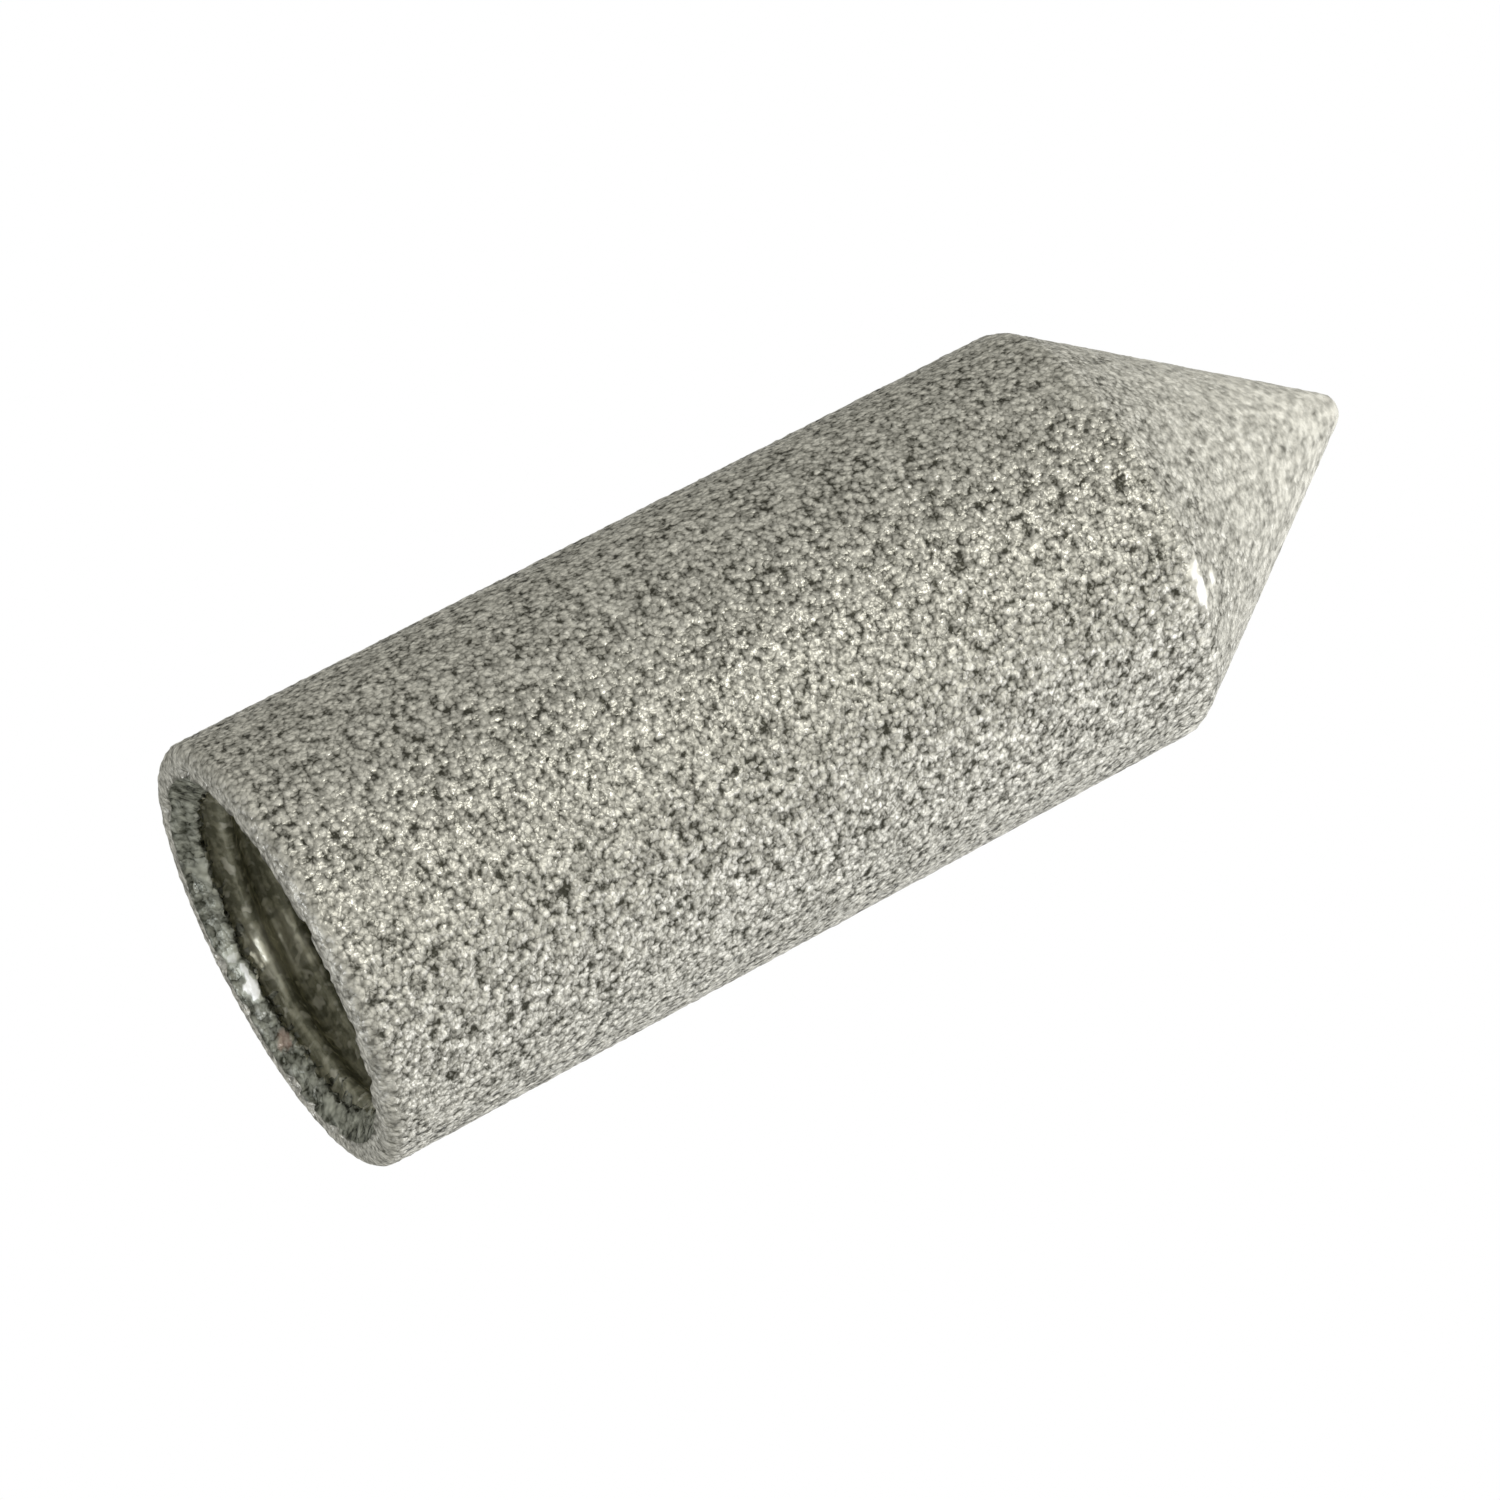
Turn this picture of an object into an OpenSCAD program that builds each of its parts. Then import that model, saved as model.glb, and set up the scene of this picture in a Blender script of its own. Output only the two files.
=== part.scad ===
// Sintered filter element: a porous steel thimble that screws onto the end of a gas sampling tube.
// Sizes are in millimetres. +Z runs along the axis from the open mouth to the closed nose,
// and the origin is the centre of the flat ring at the mouth.

/* [Thread] */
// Nominal diameter of the internal thread
thread_d = 10; // [8:0.5:24]
// Pitch of the internal thread
thread_pitch = 1; // [0.5:0.25:2]
// Full angle of the countersink that leads into the thread
lead_angle = 90; // [60:5:120]
// How far the edge of the countersink lies outside the thread, on the radius
lead_over = 0.15; // [0.05:0.05:0.3]

/* [Barrel] */
// Wall left between the root of the thread and the outside
root_wall = 1; // [0.7:0.05:3]
// Length from the mouth to the corner where the cone starts
barrel_len = 25.1; // [12:0.1:80]
// Width of the flat ring at the mouth, inside its rounded outer edge
rim_land = 0.4; // [0.1:0.05:0.5]

/* [Nose] */
// Full angle of the cone
nose_angle = 68.6; // [50:0.2:120]
// Radius at the tip of the cone
tip_r = 0.6; // [0.2:0.05:2]
// Radius of the edge between the barrel and the cone
shoulder_r = 0.5; // [0.1:0.05:3]
// Wall of the cone, measured square to its slope
nose_wall = 1.5; // [1:0.05:3]
// Radius at the blind end of the bore
bore_end_r = 0.9; // [0.2:0.05:2.5]

/* [Hidden] */
$fn = 180;

// Angle between the cone's slope and the axis
slope = nose_angle / 2;

// An internal thread is cut 5/8 as deep as the sharp triangle on its pitch
thread_depth = 5 / 8 * sqrt(3) / 2 * thread_pitch;
thread_r = thread_d / 2;
bore_r = thread_r - thread_depth;
body_r = thread_r + root_wall;
lead_r = thread_r + lead_over;
rim_r = root_wall - lead_over - rim_land;
lead_depth = (lead_r - bore_r) / tan(lead_angle / 2);

// Heights of the points where the two cones would end if they were sharp
apex_z = barrel_len + body_r / tan(slope);
bore_apex_z = apex_z - nose_wall / sin(slope);
bore_cone_z = bore_apex_z - bore_r / tan(slope);

// Distance from the sharp shoulder corner to where its rounding starts
shoulder_run = shoulder_r * tan(slope / 2);

// How far the cutting shapes reach past the faces that they cut
overcut = 1;

// How far a slope runs inside the circle that rounds its end, so that the two join
overlap = 0.0005;

// Centre of a ball of radius r that sits in the end of a cone with its sharp end at height z
function ball_z(r, z) = z - r / sin(slope);

// Point where the slope of a cone runs into a circle that it touches
function slope_end(centre, r) = centre + (r - overlap) * [cos(slope), sin(slope)];

// Keeps the half of a section that lies to the right of the axis
module right_half(height) {
    intersection() {
        children();
        translate([0, -overcut]) square([body_r + overcut, height + 2 * overcut]);
    }
}

// Outline of the outside: rounded rim, barrel, rounded shoulder, cone and rounded tip
module outer_section() {
    shoulder = [body_r - shoulder_r, barrel_len - shoulder_run];
    tip = [0, ball_z(tip_r, apex_z)];
    tip_edge = slope_end(tip, tip_r);
    right_half(apex_z) {
        polygon([
            [0, 0],
            [body_r - rim_r, 0],
            [body_r, rim_r],
            [body_r, shoulder[1]],
            slope_end(shoulder, shoulder_r),
            tip_edge,
            [0, tip_edge[1]]
        ]);
        translate([body_r - rim_r, rim_r]) circle(r = rim_r);
        translate(shoulder) circle(r = shoulder_r);
        translate(tip) circle(r = tip_r);
    }
}

// Outline of the inside: countersunk mouth, thread-cutting bore, and a cone along the nose
module bore_section() {
    blind_end = [0, ball_z(bore_end_r, bore_apex_z)];
    end_edge = slope_end(blind_end, bore_end_r);
    right_half(apex_z) {
        polygon([
            [0, -overcut],
            [lead_r + overcut * tan(lead_angle / 2), -overcut],
            [bore_r, lead_depth],
            [bore_r, bore_cone_z],
            end_edge,
            [0, end_edge[1]]
        ]);
        translate(blind_end) circle(r = bore_end_r);
    }
}

module filter_element() {
    color("#b0afa3")
        rotate_extrude()
            difference() {
                outer_section();
                bore_section();
            }
}

filter_element();
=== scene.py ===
"""Looks of a sintered filter element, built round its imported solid.

The element is one porous steel thimble. One closed mesh with the solid's own section stands for it. Its
outside carries the relief of the pressed powder, and its mouth carries the tapped thread.
"""

import logging
import math
import random
from dataclasses import dataclass, field
from enum import Enum

import bmesh
import bpy
from mathutils import Matrix, Vector, noise


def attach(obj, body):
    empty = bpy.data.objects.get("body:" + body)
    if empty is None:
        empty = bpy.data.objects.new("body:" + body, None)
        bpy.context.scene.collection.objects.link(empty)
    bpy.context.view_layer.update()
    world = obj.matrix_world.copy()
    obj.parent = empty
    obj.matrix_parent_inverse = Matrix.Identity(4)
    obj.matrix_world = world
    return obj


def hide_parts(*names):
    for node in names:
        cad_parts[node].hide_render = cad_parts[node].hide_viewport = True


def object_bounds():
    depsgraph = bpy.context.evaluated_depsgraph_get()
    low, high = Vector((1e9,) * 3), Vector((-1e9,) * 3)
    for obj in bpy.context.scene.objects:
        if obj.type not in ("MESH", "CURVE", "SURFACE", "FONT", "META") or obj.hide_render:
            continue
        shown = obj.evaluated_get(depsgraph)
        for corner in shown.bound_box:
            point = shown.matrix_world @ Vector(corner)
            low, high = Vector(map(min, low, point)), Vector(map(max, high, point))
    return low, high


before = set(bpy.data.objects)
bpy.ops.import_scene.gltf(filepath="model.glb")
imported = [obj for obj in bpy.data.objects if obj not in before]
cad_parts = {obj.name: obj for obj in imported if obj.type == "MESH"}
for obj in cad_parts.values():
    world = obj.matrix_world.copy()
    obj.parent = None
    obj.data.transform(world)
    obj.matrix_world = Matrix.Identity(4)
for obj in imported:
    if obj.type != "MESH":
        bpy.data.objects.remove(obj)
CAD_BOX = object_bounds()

LOG = logging.getLogger("filter_element")
NODE = "filter_element"
BODY = "root"
# Map that the colours are spread on when the model leaves Blender
UV_MAP = "OFBake"
MM = 0.001
# Closer than this, in millimetres, two points on the axis are one pole
POLE_GAP = 1e-5
# Middle of a random colour, from which it leans either way
MID_NOISE = (0.5, 0.5, 0.5)


class Zone(Enum):
    """Stretches of the section, in order from the tip of the nose."""

    NOSE = 0
    BARREL = 1
    RIM = 2
    LEAD = 3
    THREAD = 4
    BORE = 5


class Layer(Enum):
    """Numbers that the mesh carries at each point."""

    ARC = "arc"
    PIT_SHADE = "pit_shade"
    WEAR_AND_LIGHT = "wear_and_light"
    STAIN = "stain"


def linear_rgb(code: str) -> tuple[float, float, float, float]:
    """Turns an sRGB colour into the linear one that a shader takes.

    Args:
        code: Colour written as #rrggbb.

    Returns:
        Linear red, green and blue, and an alpha of 1.
    """
    shares = [int(code[i : i + 2], 16) / 255 for i in (1, 3, 5)]
    red, green, blue = (s / 12.92 if s <= 0.04045 else ((s + 0.055) / 1.055) ** 2.4 for s in shares)
    return red, green, blue, 1.0


def smooth_step(low: float, high: float, value: float) -> float:
    """Gives 0 below low, 1 above high, and a smooth rise between them."""
    share = min(1.0, max(0.0, (value - low) / (high - low)))
    return share * share * (3 - 2 * share)


def add_node(
    tree: bpy.types.NodeTree, kind: str, inputs: dict[str | int, object] | None = None, **settings: object
) -> bpy.types.Node:
    """Adds one node to a shader tree.

    Args:
        tree: Tree that the node joins.
        kind: Kind of node, without the words that all shader nodes start with.
        inputs: Socket names or numbers with what goes in: an output is linked, and any other value is set.
        settings: Properties of the node.

    Returns:
        The new node.
    """
    node = tree.nodes.new("ShaderNode" + kind)
    for name, value in settings.items():
        setattr(node, name, value)
    for socket, value in (inputs or {}).items():
        if isinstance(value, bpy.types.NodeSocket):
            tree.links.new(value, node.inputs[socket])
        else:
            node.inputs[socket].default_value = value
    return node


def empty_material(name: str) -> bpy.types.Material:
    """Makes a material with an empty shader tree.

    Args:
        name: Name of the material.

    Returns:
        The material.
    """
    made = bpy.data.materials.new(name)
    made.use_nodes = True
    made.node_tree.nodes.clear()
    return made


@dataclass(frozen=True)
class SinteredSteel:
    """Pressed and sintered stainless steel powder: bright faceted grains with dark pores between them."""

    name: str = "sintered_stainless_steel"
    # Colour of the pores, towards which the painted shade in the pits also darkens
    pore: str = "#3b3a31"
    grain: str = "#dad7c8"
    # Pale colour of polished metal, which also paints the glints and the nick's highlight
    burnished_and_glint: str = "#f0efe6"
    stain: str = "#9c8474"
    edge_tint: str = "#8e8e8a"
    metallic: float = 0.7
    rough: tuple[float, float] = (0.35, 0.65)

    # Sizes of the grains, of the lumps they lie in, of the finest grit and of the blotches on rubbed metal
    grain_mm: float = 0.16
    lump_mm: float = 0.25
    fine_mm: float = 0.09
    blotch_mm: float = 0.26
    blotch_run: float = 1.7

    # Distance over which the outlines of the grains are bent, and how far
    warp_mm: float = 0.17
    warp_reach_mm: float = 0.17

    # Height of the relief, and the share of each pattern in it beside the lumps
    relief_mm: float = 0.07
    facet_height: float = 0.9
    fine_height: float = 0.2
    dome_height: float = 0.3

    # Distances from a grain's middle, in grains, between which its round top falls away
    dome_edge: tuple[float, float] = (0.15, 0.8)

    # Tone that a grain starts from, the share of each pattern in it, and the depths at which painted shade
    # shows in a pit
    start_tone: float = -0.82
    chance_tone: float = 0.38
    dome_tone: float = 0.55
    lump_tone: float = 1.4
    fine_tone: float = 0.3
    pit_shade_tone: float = -0.32
    pit_depth: tuple[float, float] = (0.4, 0.75)

    # Tone of the pale blotches, partly painted light on the nose, how soon wear brings them out, and how far
    # it calms the relief
    rubbed_start: float = -0.25
    rubbed_and_lit_tone: float = 2.15
    rubbed_gain: float = 1.6
    calm_wear: float = 0.6
    calm_relief: float = 0.15

    # Which grains get a painted glint, how bright, and the wear from which metal is polished
    glint_chance: tuple[float, float] = (0.87, 0.94)
    glint_share: float = 0.12
    polish_wear: float = 0.7

    def warped(self, tree: bpy.types.NodeTree, place: bpy.types.NodeSocket) -> bpy.types.NodeSocket:
        """Bends the space that the grains are cut in, because powder grains are irregular.

        Args:
            tree: Tree that the nodes join.
            place: Place on the piece.

        Returns:
            Place in the bent space.
        """
        sway = add_node(tree, "TexNoise", {"Vector": place, "Scale": 1 / (self.warp_mm * MM), "Detail": 1.0})
        centred = add_node(
            tree, "VectorMath", {0: sway.outputs["Color"], 1: MID_NOISE}, operation="SUBTRACT"
        ).outputs["Vector"]
        return add_node(
            tree,
            "VectorMath",
            {0: centred, 1: (self.warp_reach_mm * MM,) * 3, 2: place},
            operation="MULTIPLY_ADD",
        ).outputs["Vector"]

    def facets(
        self, tree: bpy.types.NodeTree, warped: bpy.types.NodeSocket, cells: bpy.types.Node
    ) -> bpy.types.NodeSocket:
        """Tilts the top of each grain its own way.

        Args:
            tree: Tree that the nodes join.
            warped: Place in the bent space.
            cells: Node that parts that space into grains.

        Returns:
            Height of the tilted top, in grains.
        """
        lean = add_node(
            tree, "VectorMath", {0: cells.outputs["Color"], 1: MID_NOISE}, operation="SUBTRACT"
        ).outputs["Vector"]
        reach = add_node(
            tree, "VectorMath", {0: warped, 1: cells.outputs["Position"]}, operation="SUBTRACT"
        ).outputs["Vector"]
        across = add_node(
            tree, "VectorMath", {0: reach, "Scale": 1 / (self.grain_mm * MM)}, operation="SCALE"
        ).outputs["Vector"]
        return add_node(tree, "VectorMath", {0: lean, 1: across}, operation="DOT_PRODUCT").outputs["Value"]

    def material(self) -> bpy.types.Material:
        """Builds the finish on Object coordinates, so that the grain is as large everywhere.

        Returns:
            The material.
        """
        made = empty_material(self.name)
        tree = made.node_tree
        place = add_node(tree, "TexCoord").outputs["Object"]
        pit_shade, wear_and_light, spot = (
            add_node(tree, "Attribute", attribute_name=layer.value).outputs["Fac"]
            for layer in (Layer.PIT_SHADE, Layer.WEAR_AND_LIGHT, Layer.STAIN)
        )
        warped = self.warped(tree, place)
        cells = add_node(tree, "TexVoronoi", {"Vector": warped, "Scale": 1 / (self.grain_mm * MM)})
        chance = add_node(tree, "SeparateColor", {"Color": cells.outputs["Color"]})
        lumps = add_node(
            tree,
            "TexNoise",
            {"Vector": place, "Scale": 1 / (self.lump_mm * MM), "Detail": 2.0, "Roughness": 0.7},
        ).outputs["Fac"]
        fine = add_node(
            tree, "TexNoise", {"Vector": place, "Scale": 1 / (self.fine_mm * MM), "Detail": 1.0}
        ).outputs["Fac"]

        # Each grain is a pale round top that falls away to its neighbours, and leans its own way
        domed = add_node(
            tree,
            "MapRange",
            {
                "Value": cells.outputs["Distance"],
                "From Min": self.dome_edge[0],
                "From Max": self.dome_edge[1],
                "To Min": 1.0,
                "To Max": 0.0,
            },
        ).outputs["Result"]
        facet = self.facets(tree, warped, cells)
        height = lumps
        for pattern, share in (
            (facet, self.facet_height),
            (fine, self.fine_height),
            (domed, self.dome_height),
        ):
            added = add_node(tree, "Math", {0: pattern, 1: share, 2: height}, operation="MULTIPLY_ADD")
            height = added.outputs[0]
        calm = add_node(
            tree,
            "MapRange",
            {"Value": wear_and_light, "From Max": self.calm_wear, "To Min": 1.0, "To Max": self.calm_relief},
        ).outputs["Result"]
        bump = add_node(tree, "Bump", {"Height": height, "Distance": self.relief_mm * MM, "Strength": calm})

        # Tone of each grain, with painted shade where the powder lies low in the pits, cut off at a full pore
        # and a full grain
        shaded_pits = add_node(
            tree, "MapRange", {"Value": pit_shade, "From Min": self.pit_depth[0], "From Max": self.pit_depth[1]}
        ).outputs["Result"]
        tone = self.start_tone
        for pattern, share in (
            (chance.outputs["Red"], self.chance_tone),
            (domed, self.dome_tone),
            (lumps, self.lump_tone),
            (fine, self.fine_tone),
            (shaded_pits, self.pit_shade_tone),
        ):
            added = add_node(tree, "Math", {0: pattern, 1: share, 2: tone}, operation="MULTIPLY_ADD")
            tone = added.outputs[0]
        added.use_clamp = True

        # Where the metal is rubbed, pale soft blotches that run along the axis take the place of the grains;
        # on the nose this paleness is partly painted light
        drawn = add_node(tree, "Mapping", {"Vector": place, "Scale": (1.0, 1.0, 1 / self.blotch_run)})
        blotch = add_node(
            tree,
            "TexNoise",
            {"Vector": drawn.outputs["Vector"], "Scale": 1 / (self.blotch_mm * MM), "Detail": 1.0},
        ).outputs["Fac"]
        rubbed_and_lit = add_node(
            tree, "Math", {0: blotch, 1: self.rubbed_and_lit_tone, 2: self.rubbed_start}, operation="MULTIPLY_ADD"
        ).outputs[0]
        smooth = add_node(
            tree, "Math", {0: wear_and_light, 1: self.rubbed_gain}, operation="MULTIPLY", use_clamp=True
        ).outputs[0]
        even = add_node(tree, "Mix", {0: smooth, 2: tone, 3: rubbed_and_lit}, data_type="FLOAT").outputs[0]

        # A few grains get a painted glint, and worn spots, such as the nick with its painted highlight, are
        # polished all over
        caught = add_node(
            tree,
            "MapRange",
            {
                "Value": chance.outputs["Blue"],
                "From Min": self.glint_chance[0],
                "From Max": self.glint_chance[1],
                "To Max": self.glint_share,
            },
        ).outputs["Result"]
        painted_glint = add_node(tree, "Math", {0: caught, 1: even}, operation="MULTIPLY", use_clamp=True).outputs[0]
        polish_and_highlight = add_node(
            tree, "MapRange", {"Value": wear_and_light, "From Min": self.polish_wear, "From Max": 1.0}
        ).outputs["Result"]
        glint_and_polish = add_node(tree, "Math", {0: painted_glint, 1: polish_and_highlight}, operation="MAXIMUM").outputs[0]
        colour = linear_rgb(self.pore)
        for share, tint in ((even, self.grain), (glint_and_polish, self.burnished_and_glint), (spot, self.stain)):
            laid = add_node(tree, "Mix", {0: share, 6: colour, 7: linear_rgb(tint)}, data_type="RGBA")
            colour = laid.outputs[2]
        rough = add_node(
            tree,
            "MapRange",
            {"Value": chance.outputs["Green"], "To Min": self.rough[0], "To Max": self.rough[1]},
        )
        shader = add_node(
            tree,
            "BsdfPrincipled",
            {
                "Base Color": colour,
                "Metallic": self.metallic,
                "Roughness": rough.outputs["Result"],
                "Specular Tint": linear_rgb(self.edge_tint),
                "Normal": bump.outputs["Normal"],
            },
            distribution="GGX",
        )
        add_node(tree, "OutputMaterial", {"Surface": shader.outputs["BSDF"]})
        return made


@dataclass(frozen=True)
class TappedSteel:
    """The same steel where the tap has smeared its pores shut: dark, dull and streaked round the axis."""

    name: str = "tapped_stainless_steel"
    dark: str = "#74735c"
    light: str = "#bab79c"
    # Pale colour of the bare grains and of the painted highlights on the crests
    pale_grain_and_highlight: str = "#dedbc6"
    metallic: float = 0.15
    crest_metallic: float = 0.8
    rough: tuple[float, float] = (0.5, 0.85)
    crest_rough: float = 0.3

    # Width and length of the streaks, and sizes of the specks and of the grains left bare
    streak_mm: float = 0.1
    streak_run_mm: float = 0.9
    speck_mm: float = 0.3
    fleck_mm: float = 0.32
    relief_mm: float = 0.026
    relief_share: float = 0.8

    # Weight of the specks beside the streaks, the sums between which dark turns light, and the painted shade
    # in a pit
    speck_tone: float = 1.5
    turn: tuple[float, float] = (1.05, 1.5)
    pit_shade_tone: float = -0.4

    # How much of the wall is bare grains, and how pale they are
    fleck_noise: tuple[float, float] = (0.56, 0.68)
    fleck_share: float = 0.8

    def material(self) -> bpy.types.Material:
        """Builds the finish, with streaks that run round the axis.

        Returns:
            The material.
        """
        made = empty_material(self.name)
        tree = made.node_tree
        place = add_node(tree, "TexCoord").outputs["Object"]
        pit_shade, wear_and_light = (
            add_node(tree, "Attribute", attribute_name=layer.value).outputs["Fac"]
            for layer in (Layer.PIT_SHADE, Layer.WEAR_AND_LIGHT)
        )
        round_run = 1 / (self.streak_run_mm * MM)
        drawn = add_node(
            tree, "Mapping", {"Vector": place, "Scale": (round_run, round_run, 1 / (self.streak_mm * MM))}
        )
        streak = add_node(
            tree, "TexNoise", {"Vector": drawn.outputs["Vector"], "Scale": 1.0, "Detail": 3.0}
        ).outputs["Fac"]
        speck = add_node(
            tree, "TexNoise", {"Vector": place, "Scale": 1 / (self.speck_mm * MM), "Detail": 3.0}
        ).outputs["Fac"]
        both = add_node(
            tree, "Math", {0: speck, 1: self.speck_tone, 2: streak}, operation="MULTIPLY_ADD"
        ).outputs[0]
        spread = add_node(
            tree, "MapRange", {"Value": both, "From Min": self.turn[0], "From Max": self.turn[1]}
        ).outputs["Result"]
        # Painted shade darkens the pits
        tone = add_node(
            tree, "Math", {0: pit_shade, 1: self.pit_shade_tone, 2: spread}, operation="MULTIPLY_ADD", use_clamp=True
        ).outputs[0]

        # The tap has left a few grains bare, which are as pale as the painted highlights on the crests
        bare = add_node(
            tree, "TexNoise", {"Vector": place, "Scale": 1 / (self.fleck_mm * MM), "Detail": 1.0}
        ).outputs["Fac"]
        fleck = add_node(
            tree,
            "MapRange",
            {
                "Value": bare,
                "From Min": self.fleck_noise[0],
                "From Max": self.fleck_noise[1],
                "To Max": self.fleck_share,
            },
        ).outputs["Result"]
        pale = add_node(tree, "Math", {0: wear_and_light, 1: fleck}, operation="MAXIMUM").outputs[0]
        colour = linear_rgb(self.dark)
        for share, tint in ((tone, self.light), (pale, self.pale_grain_and_highlight)):
            laid = add_node(tree, "Mix", {0: share, 6: colour, 7: linear_rgb(tint)}, data_type="RGBA")
            colour = laid.outputs[2]

        # Worn crests, which also carry painted highlights, are smooth bare metal, and the rest is dull
        shine = add_node(
            tree, "MapRange", {"Value": wear_and_light, "To Min": self.metallic, "To Max": self.crest_metallic}
        ).outputs["Result"]
        torn = add_node(
            tree, "MapRange", {"Value": speck, "To Min": self.rough[0], "To Max": self.rough[1]}
        ).outputs["Result"]
        rough = add_node(tree, "Mix", {0: wear_and_light, 2: torn, 3: self.crest_rough}, data_type="FLOAT").outputs[0]
        bump = add_node(
            tree, "Bump", {"Height": both, "Distance": self.relief_mm * MM, "Strength": self.relief_share}
        )
        shader = add_node(
            tree,
            "BsdfPrincipled",
            {
                "Base Color": colour,
                "Metallic": shine,
                "Roughness": rough,
                "Normal": bump.outputs["Normal"],
            },
        )
        add_node(tree, "OutputMaterial", {"Surface": shader.outputs["BSDF"]})
        return made


@dataclass(frozen=True)
class Thread:
    """Right-handed internal thread of the mouth, in millimetres."""

    nominal_d: float = 10.0
    pitch: float = 1.0
    length: float = 6.0
    runout: float = 1.0
    start_turn: float = 0.33
    # Widths of the crests and of the roots, as shares of the pitch
    crest_share: float = 1 / 4
    root_share: float = 1 / 8

    @property
    def depth(self) -> float:
        """Depth of an internal thread: 5/8 of the sharp triangle on its pitch."""
        return 5 / 8 * math.sqrt(3) / 2 * self.pitch

    @property
    def crest_r(self) -> float:
        """Radius of the crests, which is the plain bore's radius."""
        return self.nominal_d / 2 - self.depth

    def groove(self, angle: float, height: float) -> float:
        """Depth of the groove below the crests at a place on the wall.

        Args:
            angle: Angle round the axis, in radians.
            height: Height above the mouth.

        Returns:
            Depth, which fades out over the last of the thread's length.
        """
        turn = (height / self.pitch - angle / (2 * math.pi) + self.start_turn) % 1.0
        half_groove = (1 - self.crest_share) / 2
        flank = (half_groove - abs(turn - 0.5)) / (half_groove - self.root_share / 2)
        fade = 1 - smooth_step(self.length - self.runout, self.length, height)
        return self.depth * min(1.0, max(0.0, flank)) * fade


@dataclass(frozen=True)
class Mark:
    """A small spot of wear, stain or painted highlight, with its place round the axis in degrees and its
    sizes in millimetres.
    """

    name: str
    angle: float
    height: float
    half_run: float
    half_width: float
    strength: float = 1.0
    layer: Layer = Layer.WEAR_AND_LIGHT
    inside: bool = True
    # Size and reach of the teeth of its ragged edge, and where that edge starts and ends, in half sizes
    ragged_mm: float = 0.26
    ragged_reach: float = 0.7
    edge: tuple[float, float] = (0.75, 1.2)

    def at(self, place: Vector) -> float:
        """How strong the mark is at a place, from 0 to 1.

        Args:
            place: Point on the surface.

        Returns:
            Strength, with a ragged edge.
        """
        side = math.radians(self.angle)
        out = Vector((math.cos(side), math.sin(side), 0.0))
        if place.dot(out) <= 0:
            return 0.0
        along = place.dot(Vector((-out.y, out.x, 0.0))) / self.half_run
        across = (place.z - self.height) / self.half_width
        away = math.hypot(along, across)
        if away > self.edge[1] + self.ragged_reach:
            return 0.0
        ragged = noise.noise(place / self.ragged_mm) * self.ragged_reach
        return self.strength * (1 - smooth_step(*self.edge, away + ragged))


@dataclass
class SectionPen:
    """Draws half of a revolved section as a chain of edges in the XZ plane, in millimetres."""

    mesh: bmesh.types.BMesh
    tip: bmesh.types.BMVert | None = None

    def start(self, x: float, z: float) -> bmesh.types.BMVert:
        """Puts the pen down at a point."""
        self.tip = self.mesh.verts.new((x, 0.0, z))
        return self.tip

    def sweep(self, **path: object) -> bmesh.types.BMVert:
        """Draws on from the tip along one path of the spin operator.

        Args:
            path: Centre, angle, shift and number of steps, as the operator takes them.

        Returns:
            The vertex at the end.
        """
        swept = bmesh.ops.spin(
            self.mesh, geom=[self.tip], axis=(0.0, 1.0, 0.0), use_duplicate=False, **path
        )
        self.tip = next(part for part in swept["geom_last"] if isinstance(part, bmesh.types.BMVert))
        return self.tip

    def line(self, x: float, z: float, spacing: float) -> bmesh.types.BMVert:
        """Draws a straight line.

        Args:
            x: End's distance from the axis.
            z: End's height.
            spacing: Distance between its vertices, or a little off to fit.

        Returns:
            The vertex at the end.
        """
        run = Vector((x, 0.0, z)) - self.tip.co
        steps = max(1, round(run.length / spacing))
        return self.sweep(cent=self.tip.co, dvec=run / steps, angle=0.0, steps=steps)

    def arc(self, x: float, z: float, turn: float, spacing: float) -> bmesh.types.BMVert:
        """Draws an arc round a centre.

        Args:
            x: Centre's distance from the axis.
            z: Centre's height.
            turn: Angle that it covers, in radians, clockwise with X to the right and Z up.
            spacing: Distance between its vertices, or a little off to fit.

        Returns:
            The vertex at the end.
        """
        centre = Vector((x, 0.0, z))
        steps = max(2, round((self.tip.co - centre).length * abs(turn) / spacing))
        return self.sweep(cent=centre, angle=turn, steps=steps)


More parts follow.
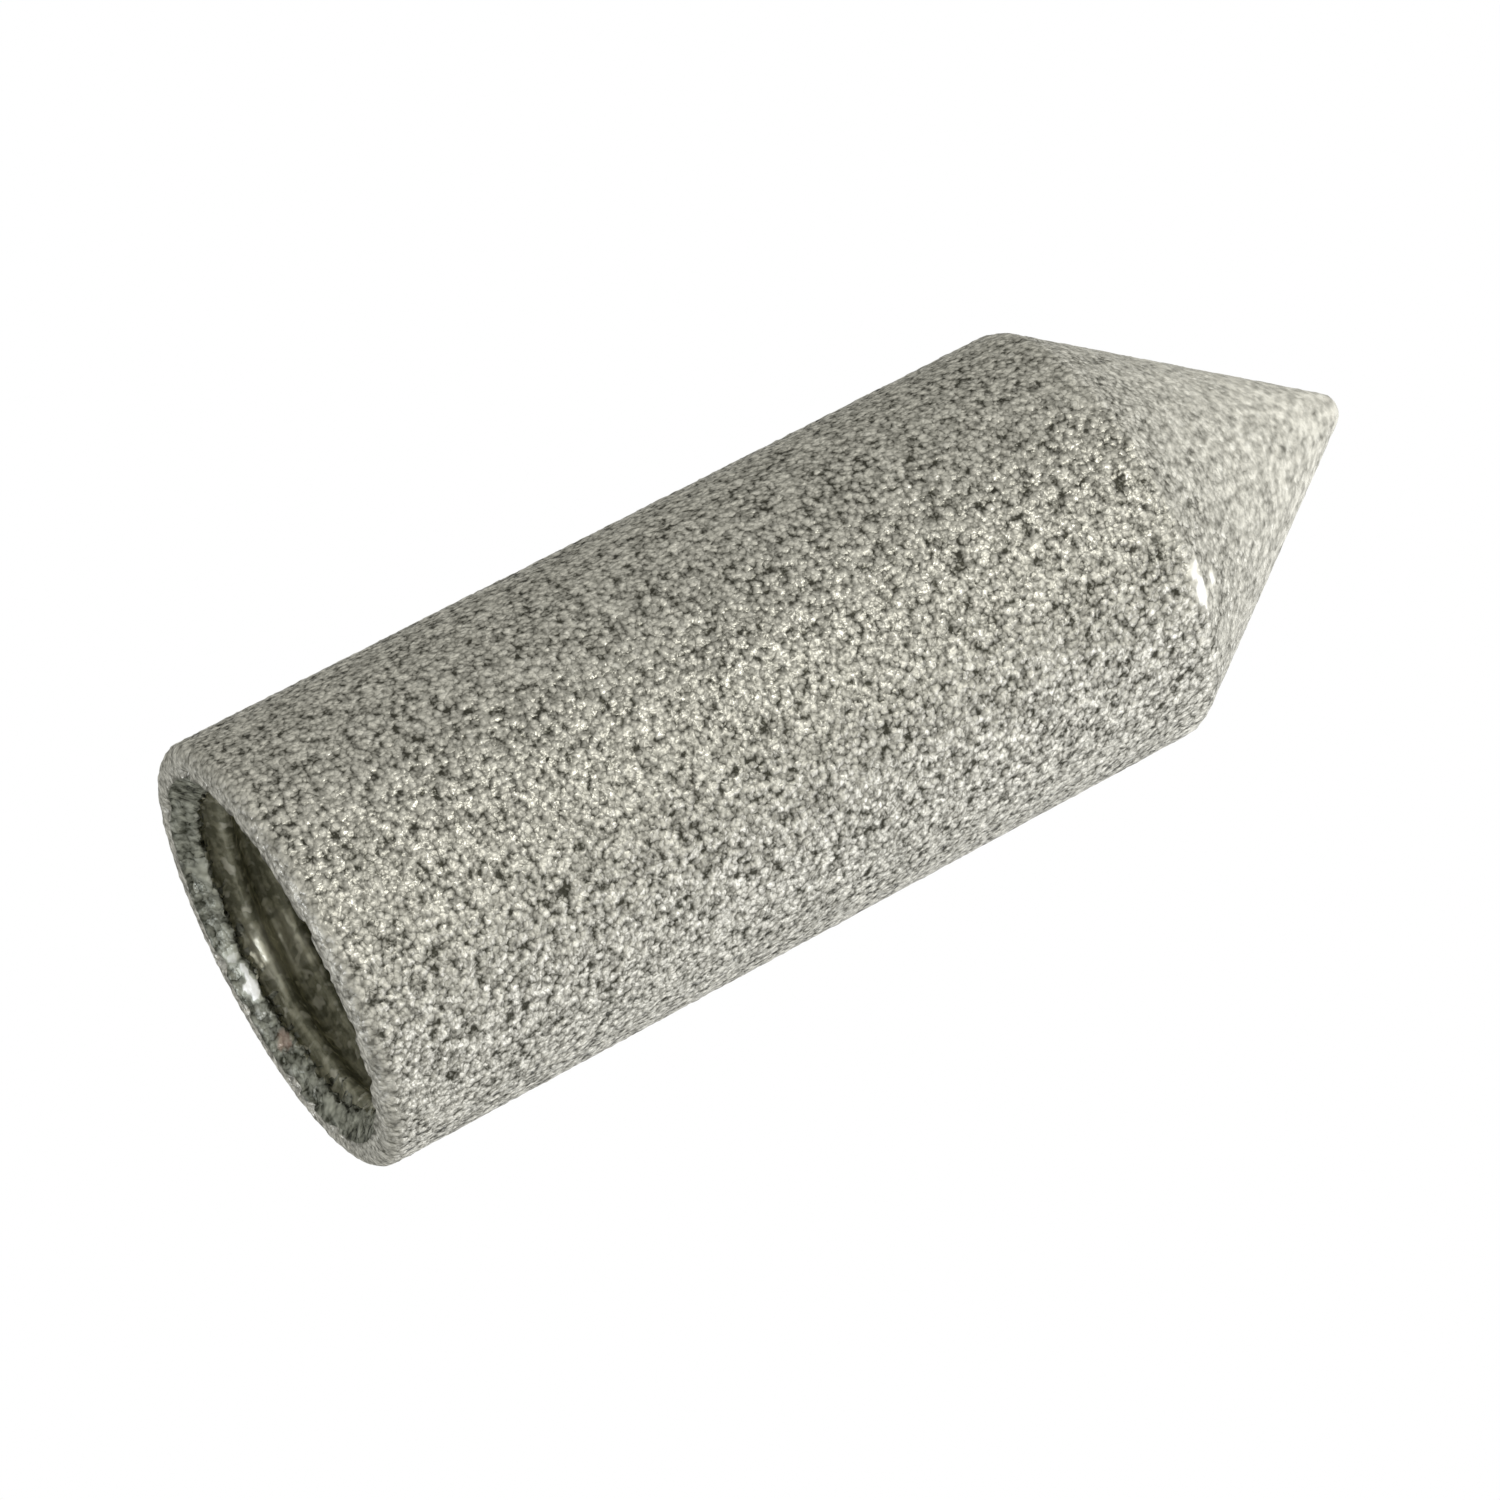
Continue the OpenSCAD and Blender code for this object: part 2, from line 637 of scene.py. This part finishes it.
@dataclass
class FilterElement:
    """The thimble: sizes in millimetres, as the solid has them, and the mesh that stands for it."""

    thread: Thread = field(default_factory=Thread)
    body_r: float = CAD_BOX[1].x / MM
    barrel_len: float = 25.1
    lead_over: float = 0.15
    rim_land: float = 0.4
    nose_angle: float = 68.6
    tip_r: float = 0.6
    shoulder_r: float = 0.5
    nose_wall: float = 1.5
    bore_end_r: float = 0.9

    # Number of faces round the axis, and their lengths along the section
    columns: int = 284
    skin_step: float = 0.134
    cone_step: float = 0.146
    thread_step: float = 0.107
    bore_step: float = 1.4

    # Powder: depth of its pores, size of a grain, grains in a clump, and the share of both in its height
    skin_relief: float = 0.065
    bore_relief: float = 0.05
    grain: float = 0.2
    clump_grains: int = 3
    mean_height: float = 0.66
    grain_swing: float = 0.6
    clump_swing: float = 0.15

    # Farthest that a point slides along the wall, and the seed of those draws
    jitter: float = 0.038
    seed: int = 7

    # Edge of the countersink: depth, size and reach of its chips, and the painted shadow line along it
    chip_relief: float = 0.16
    chip: float = 0.55
    chip_noise: tuple[float, float] = (0.05, 0.55)
    chip_reach: tuple[float, float] = (0.1, 0.4)
    edge_shadow: float = 0.8
    edge_reach: tuple[float, float] = (0.03, 0.15)

    # Start of the thread: how far it is torn, the size of the tears, and the heights where it deepens
    tear: float = 0.4
    tear_grain: float = 0.24
    thread_start: tuple[float, float] = (0.4, 0.95)

    # Wear: size and reach of its patches, and how much the shoulder, the nose and the rim have; on the nose
    # it is partly painted light
    patch: float = 0.7
    patch_reach: float = 2.2
    shoulder_fade: tuple[float, float] = (-1.0, 1.4)
    shoulder_wear: float = 0.15
    nose_fade: float = 6.5
    nose_wear_and_light: float = 0.33
    rim_wear: float = 0.12

    # Unrolled map: the outside's share of its height, and the margin round it
    map_outside: float = 0.8
    map_margin: float = 0.002

    # Bright and stained spots of the shoulder, the countersink and the first turns of the thread; some are
    # painted highlights
    marks: tuple[Mark, ...] = (
        # The nick is a worn spot on the shoulder with a painted highlight on it
        Mark("worn_nick_and_highlight", 25.0, 25.08, 0.72, 0.2, inside=False),
        Mark("worn_nick_spot_and_highlight", 27.0, 25.65, 0.2, 0.16, inside=False),
        Mark("flake", 175.5, 0.36, 0.32, 0.2),
        Mark("flake_tail", 181.5, 0.42, 0.22, 0.13, 0.9),
        Mark("light_grain", 187.5, 0.3, 0.22, 0.22, 0.8),
        Mark("low_grain", 218.0, 0.34, 0.3, 0.2, 0.7),
        Mark("side_grain", 124.0, 0.3, 0.4, 0.22, 0.7),
        # Painted highlights on the first two crests, and a painted pool of light round them
        Mark("first_crest_highlight", 186.0, 0.9, 0.6, 0.14, 0.9),
        Mark("second_crest_highlight", 187.0, 1.9, 0.4, 0.14, 0.8),
        Mark("painted_light_patch", 184.0, 1.4, 1.0, 0.8, 0.36),
        Mark("brown_stain", 156.0, 0.36, 0.26, 0.19, 0.6, Layer.STAIN),
    )

    # The countersink is darker, with coarser pores in it
    countersunk: SinteredSteel = SinteredSteel(
        name="countersunk_sintered_steel",
        grain_mm=0.26,
        lump_mm=0.28,
        fine_mm=0.12,
        warp_mm=0.3,
        warp_reach_mm=0.3,
        pore="#2b2c21",
        grain="#a9aa9a",
        relief_mm=0.06,
    )
    ends: dict[Zone, float] = field(default_factory=dict)

    @property
    def slope(self) -> float:
        """Angle between the cone and the axis, in radians."""
        return math.radians(self.nose_angle / 2)

    def section(self) -> bmesh.types.BMesh:
        """Draws the section from the tip of the nose, down the outside and up the bore.

        Returns:
            A chain of edges that starts and ends on the axis, with the length walked along it at each vertex.
        """
        mesh = bmesh.new()
        walked = mesh.verts.layers.float.new(Layer.ARC.value)
        pen = SectionPen(mesh)
        slope = self.slope
        lead_r = self.thread.nominal_d / 2 + self.lead_over
        bore_r = self.thread.crest_r
        rim_r = self.body_r - lead_r - self.rim_land
        run = self.shoulder_r * math.tan(slope / 2)
        apex_z = self.barrel_len + self.body_r / math.tan(slope)
        tip_z = apex_z - self.tip_r / math.sin(slope)
        bore_apex_z = apex_z - self.nose_wall / math.sin(slope)
        end_z = bore_apex_z - self.bore_end_r / math.sin(slope)
        quarter = math.pi / 2

        first = pen.start(0.0, tip_z + self.tip_r)
        pen.arc(0.0, tip_z, quarter - slope, self.cone_step)
        pen.line(self.body_r - run * math.sin(slope), self.barrel_len + run * math.cos(slope), self.cone_step)
        last = {}
        last[Zone.NOSE] = pen.arc(
            self.body_r - self.shoulder_r, self.barrel_len - run, slope, self.skin_step
        )
        last[Zone.BARREL] = pen.line(self.body_r, rim_r, self.skin_step)
        pen.arc(self.body_r - rim_r, rim_r, quarter, self.skin_step)
        last[Zone.RIM] = pen.line(lead_r, 0.0, self.skin_step)
        last[Zone.LEAD] = pen.line(bore_r, lead_r - bore_r, self.thread_step)
        last[Zone.THREAD] = pen.line(bore_r, self.thread.length, self.thread_step)
        pen.line(bore_r, bore_apex_z - bore_r / math.tan(slope), self.bore_step)
        pen.line(self.bore_end_r * math.cos(slope), end_z + self.bore_end_r * math.sin(slope), self.bore_step)
        last[Zone.BORE] = pen.arc(0.0, end_z, slope - quarter, self.bore_end_r / 2)

        # Each vertex is given the length walked to it from the tip
        came_from, here = None, first
        while here:
            ahead = [e.other_vert(here) for e in here.link_edges if e.other_vert(here) is not came_from]
            came_from, here = here, ahead[0] if ahead else None
            if here:
                here[walked] = came_from[walked] + (here.co - came_from.co).length
        self.ends = {zone: vertex[walked] for zone, vertex in last.items()}
        return mesh

    def zone_at(self, walked: float) -> Zone:
        """Names the stretch of the section that a length along it falls in."""
        return next((zone for zone, end in self.ends.items() if walked <= end + POLE_GAP), Zone.BORE)

    def revolved(self) -> bmesh.types.BMesh:
        """Spins the section into the closed wall of the thimble.

        Returns:
            The plain mesh, in millimetres, with its faces pointing out of the metal.
        """
        mesh = self.section()
        bmesh.ops.spin(
            mesh,
            geom=mesh.verts[:] + mesh.edges[:],
            cent=(0.0, 0.0, 0.0),
            axis=(0.0, 0.0, 1.0),
            angle=2 * math.pi,
            steps=self.columns,
            use_merge=True,
            use_duplicate=False,
        )
        bmesh.ops.remove_doubles(mesh, verts=mesh.verts[:], dist=POLE_GAP)
        bmesh.ops.recalc_face_normals(mesh, faces=mesh.faces[:])
        return mesh

    def cut_thread(self, mesh: bmesh.types.BMesh) -> None:
        """Cuts the groove of the thread into the wall of the mouth, with a torn start at the countersink.

        Args:
            mesh: Plain mesh of the thimble.
        """
        walked = mesh.verts.layers.float[Layer.ARC.value]
        for vertex in mesh.verts:
            if self.zone_at(vertex[walked]) not in (Zone.LEAD, Zone.THREAD):
                continue
            x, y, z = vertex.co
            radius = math.hypot(x, y)
            torn = self.tear * noise.noise(vertex.co / self.tear_grain)
            begun = smooth_step(*self.thread_start, z + torn)
            cut_r = self.thread.crest_r + self.thread.groove(math.atan2(y, x), z) * begun
            grow = max(radius, cut_r) / radius
            vertex.co = (x * grow, y * grow, z)
        mesh.normal_update()

    def grain_height(self, place: Vector) -> float:
        """Height of the powder at a place.

        Args:
            place: Point on the plain surface.

        Returns:
            0 in the deepest pore, 1 on top of a grain.
        """
        grains = noise.noise(place / self.grain)
        clumps = noise.noise(place / (self.clump_grains * self.grain))
        height = self.mean_height + self.grain_swing * grains + self.clump_swing * clumps
        return min(1.0, max(0.0, height))

    def wear_and_light_at(self, place: Vector, zone: Zone) -> float:
        """How smooth the outside is rubbed at a place, and how much paler it is painted: more and more
        towards the tip of the nose, where the paleness is partly painted light.

        Args:
            place: Point on the plain surface.
            zone: Stretch of the section that it lies on.

        Returns:
            0 where the powder is as pressed, 1 where it is rubbed smooth; on the nose it also paints light.
        """
        if zone in (Zone.NOSE, Zone.BARREL):
            patchy = place.z + self.patch_reach * noise.noise(place / self.patch)
            fade_from, fade_to = (self.barrel_len + shift for shift in self.shoulder_fade)
            shoulder = self.shoulder_wear * smooth_step(fade_from, fade_to, patchy)
            nose = smooth_step(self.barrel_len, self.barrel_len + self.nose_fade, patchy)
            return shoulder + self.nose_wear_and_light * nose
        return self.rim_wear if zone is Zone.RIM else 0.0

    def rim_chip(self, place: Vector) -> float:
        """How far the edge of the countersink is chipped back at a place, from 0 to 1."""
        return smooth_step(*self.chip_noise, noise.noise(place / self.chip))

    def grow_grain(self, mesh: bmesh.types.BMesh) -> None:
        """Sinks the surface into the metal between the grains, and notes the painted shade of the pits and of
        the countersink's edge, the wear and painted light, and the stain.

        Args:
            mesh: Mesh of the thimble with its thread cut.
        """
        walked = mesh.verts.layers.float[Layer.ARC.value]
        layers = (Layer.PIT_SHADE, Layer.WEAR_AND_LIGHT, Layer.STAIN)
        noted = {layer: mesh.verts.layers.float.new(layer.value) for layer in layers}
        relief_of = {Zone.THREAD: self.bore_relief, Zone.BORE: self.bore_relief}
        edge = self.ends[Zone.RIM]
        draw = random.Random(self.seed)
        places = []
        for vertex in mesh.verts:
            zone = self.zone_at(vertex[walked])
            from_edge = abs(vertex[walked] - edge)
            marked = {layer: 0.0 for layer in noted}
            hollow = zone in (Zone.LEAD, Zone.THREAD, Zone.BORE)
            for mark in self.marks:
                if mark.inside is hollow:
                    marked[mark.layer] = max(marked[mark.layer], mark.at(vertex.co))
            wear_and_light = max(self.wear_and_light_at(vertex.co, zone), marked[Layer.WEAR_AND_LIGHT])
            sunk = (1 - self.grain_height(vertex.co)) * (1 - wear_and_light)
            chip = self.rim_chip(vertex.co) * (1 - smooth_step(*self.chip_reach, from_edge))
            depth = relief_of.get(zone, self.skin_relief) * sunk + self.chip_relief * chip
            # A painted shadow line runs along the edge of the countersink
            painted_edge_shadow = self.edge_shadow * (1 - smooth_step(*self.edge_reach, from_edge))
            vertex[noted[Layer.PIT_SHADE]] = max(sunk, painted_edge_shadow)
            vertex[noted[Layer.WEAR_AND_LIGHT]] = wear_and_light
            vertex[noted[Layer.STAIN]] = marked[Layer.STAIN]

            # Points slide a little along the wall, so that no rows show, but the rim and the nose stay true
            shift = Vector((draw.uniform(-1, 1), draw.uniform(-1, 1), draw.uniform(-1, 1))) * self.jitter
            slide = shift - vertex.normal * shift.dot(vertex.normal)
            slides = 0.0 if zone in (Zone.RIM, Zone.NOSE) else 1.0
            places.append(vertex.co - vertex.normal * depth + slide * slides)
        for vertex, place in zip(mesh.verts, places):
            vertex.co = place

    def spread_map(self, mesh: bmesh.types.BMesh) -> None:
        """Unrolls the wall: across by the angle round the axis, and up by the length along the section.

        Args:
            mesh: Finished mesh of the thimble.
        """
        walked = mesh.verts.layers.float[Layer.ARC.value]
        flat = mesh.loops.layers.uv.new(UV_MAP)
        outside = self.ends[Zone.RIM]
        inside = self.ends[Zone.BORE] - outside
        span = 1 - 2 * self.map_margin
        for face in mesh.faces:
            middle = math.atan2(*face.calc_center_median().yx) / (2 * math.pi) % 1.0
            for loop in face.loops:
                x, y, _ = loop.vert.co
                turn = math.atan2(y, x) / (2 * math.pi) % 1.0
                turn += round(middle - turn)
                along = loop.vert[walked]
                share = self.map_outside * along / outside
                if along > outside:
                    share = self.map_outside + (1 - self.map_outside) * (along - outside) / inside
                across = min(1.0, max(0.0, turn))
                loop[flat].uv = (self.map_margin + span * across, self.map_margin + span * share)

    def finish_at(self, walked: float, place: Vector) -> int:
        """Picks the finish at a place, with a ragged line where the countersink meets the thread.

        Args:
            walked: Length along the section.
            place: Point on the surface.

        Returns:
            Number of the material: 0 outside, 1 on the countersink and 2 in the bore.
        """
        lead_start, lead_end = self.ends[Zone.RIM], self.ends[Zone.LEAD]
        if walked <= lead_start:
            return 0
        torn = lead_end + self.tear * noise.noise(place / self.tear_grain)
        return 1 if walked <= torn else 2

    def build(self) -> bpy.types.Object:
        """Makes the piece and gives it its place in the frame.

        Returns:
            The object that stands for the solid.
        """
        mesh = self.revolved()
        self.cut_thread(mesh)
        self.grow_grain(mesh)
        self.spread_map(mesh)
        walked = mesh.verts.layers.float[Layer.ARC.value]
        for face in mesh.faces:
            face.smooth = True
            middle = sum(v[walked] for v in face.verts) / len(face.verts)
            face.material_index = self.finish_at(middle, face.calc_center_median())
        bmesh.ops.scale(mesh, vec=(MM, MM, MM), verts=mesh.verts[:])
        data = bpy.data.meshes.new(NODE + "_skin")
        mesh.to_mesh(data)
        mesh.free()
        for finish in (SinteredSteel(), self.countersunk, TappedSteel()):
            data.materials.append(finish.material())
        piece = bpy.data.objects.new(NODE + "_skin", data)
        bpy.context.scene.collection.objects.link(piece)
        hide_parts(NODE)
        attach(piece, BODY)
        LOG.info("%s: %d faces", piece.name, len(data.polygons))
        return piece


@dataclass(frozen=True)
class Lamp:
    """A square soft box that faces the middle of the element."""

    name: str
    towards: tuple[float, float, float]
    power_w: float
    width_mm: float
    tint: str = "#ffffff"
    away_mm: float = 300.0

    def build(self, middle: Vector) -> bpy.types.Object:
        """Hangs the lamp.

        Args:
            middle: Point that it faces, in metres.

        Returns:
            The lamp.
        """
        data = bpy.data.lights.new(self.name, "AREA")
        data.energy = self.power_w
        data.color = linear_rgb(self.tint)[:3]
        data.size = self.width_mm * MM
        lamp = bpy.data.objects.new(self.name, data)
        out = Vector(self.towards).normalized()
        turn = out.to_track_quat("Z", "Y").to_matrix().to_4x4()
        lamp.matrix_world = Matrix.Translation(middle + out * self.away_mm * MM) @ turn
        bpy.context.scene.collection.objects.link(lamp)
        return lamp


@dataclass(frozen=True)
class Studio:
    """Pale floor, white surround, soft boxes and the camera."""

    floor_r_mm: float = 900.0
    floor_sides: int = 96
    floor_colour: str = "#e0e0de"
    ambient: float = 0.35
    lens_mm: float = 129.2
    sensor_mm: float = 36.0
    near_mm: float = 10.0
    camera_mm: tuple[float, float, float] = (133.25, 0.906, -30.418)
    azimuth: float = 90.0
    elevation: float = -18.425
    roll: float = 62.291
    lamps: tuple[Lamp, ...] = (
        Lamp("key_box", (0.93, 0.05, 0.32), 0.4, 110.0),
        Lamp("side_box", (-0.05, 1.0, 0.6), 0.47, 240.0, "#f1f3ff"),
        Lamp("top_box", (-0.1, 0.05, 1.0), 0.64, 500.0, "#f3f5ff"),
        Lamp("mouth_box", (-0.2, 0.066, -0.98), 0.18, 80.0, "#e6ecff"),
        Lamp("back_box", (-0.7, 0.65, 0.35), 0.28, 200.0, "#f1f3ff"),
        Lamp("far_box", (-1.0, -0.3, 0.3), 0.05, 200.0),
    )

    def camera(self) -> bpy.types.Object:
        """Sets up the camera below the mouth's level, turned so that the nose points right and up.

        Returns:
            The camera.
        """
        data = bpy.data.cameras.new("camera")
        data.lens = self.lens_mm
        data.sensor_width = self.sensor_mm
        data.clip_start = self.near_mm * MM
        made = bpy.data.objects.new("camera", data)
        turn = (
            Matrix.Rotation(math.radians(self.azimuth), 4, "Z")
            @ Matrix.Rotation(math.radians(90 - self.elevation), 4, "X")
            @ Matrix.Rotation(math.radians(self.roll), 4, "Z")
        )
        made.matrix_world = Matrix.Translation(Vector(self.camera_mm) * MM) @ turn
        bpy.context.scene.collection.objects.link(made)
        bpy.context.scene.camera = made
        return made

    def floor(self) -> bpy.types.Object:
        """Lays a pale floor that can be seen through from below, where the camera is.

        Returns:
            The floor.
        """
        mesh = bmesh.new()
        bmesh.ops.create_circle(
            mesh, cap_ends=True, segments=self.floor_sides, radius=self.floor_r_mm * MM
        )
        data = bpy.data.meshes.new("floor")
        mesh.to_mesh(data)
        mesh.free()
        made = empty_material("pale_floor")
        tree = made.node_tree
        below = add_node(tree, "NewGeometry").outputs["Backfacing"]
        seen = add_node(tree, "LightPath").outputs["Is Camera Ray"]
        above = add_node(tree, "Math", {0: seen, 1: below}, operation="SUBTRACT", use_clamp=True).outputs[0]
        pale = add_node(tree, "BsdfDiffuse", {"Color": linear_rgb(self.floor_colour)}).outputs["BSDF"]
        clear = add_node(tree, "BsdfTransparent").outputs["BSDF"]
        surface = add_node(tree, "MixShader", {0: above, 1: clear, 2: pale}).outputs["Shader"]
        add_node(tree, "OutputMaterial", {"Surface": surface})
        data.materials.append(made)
        laid = bpy.data.objects.new("floor", data)
        bpy.context.scene.collection.objects.link(laid)
        return laid

    def surround(self) -> None:
        """Makes the world white to the eye and in reflections, and a soft fill to everything else."""
        world = bpy.data.worlds.new("surround")
        world.use_nodes = True
        tree = world.node_tree
        tree.nodes.clear()
        rays = add_node(tree, "LightPath")
        shiny = add_node(
            tree,
            "Math",
            {0: rays.outputs["Is Glossy Ray"], 1: rays.outputs["Is Transmission Ray"]},
            operation="MAXIMUM",
        ).outputs[0]
        seen = add_node(
            tree, "Math", {0: rays.outputs["Is Camera Ray"], 1: shiny}, operation="MAXIMUM"
        ).outputs[0]
        strength = add_node(tree, "MapRange", {"Value": seen, "To Min": self.ambient, "To Max": 1.0})
        back = add_node(
            tree, "Background", {"Color": linear_rgb("#ffffff"), "Strength": strength.outputs["Result"]}
        )
        add_node(tree, "OutputWorld", {"Surface": back.outputs["Background"]})
        bpy.context.scene.world = world

    def build(self) -> None:
        """Sets up everything round the element."""
        bpy.context.scene.view_settings.view_transform = "Standard"
        self.camera()
        self.floor()
        self.surround()
        middle = (CAD_BOX[0] + CAD_BOX[1]) / 2
        for lamp in self.lamps:
            lamp.build(middle)
            LOG.info("lamp %s", lamp.name)


def main() -> None:
    """Builds the element and its studio."""
    logging.basicConfig(level=logging.INFO, format="%(name)s: %(message)s")
    Studio().build()
    FilterElement().build()


if __name__ == "__main__":
    main()
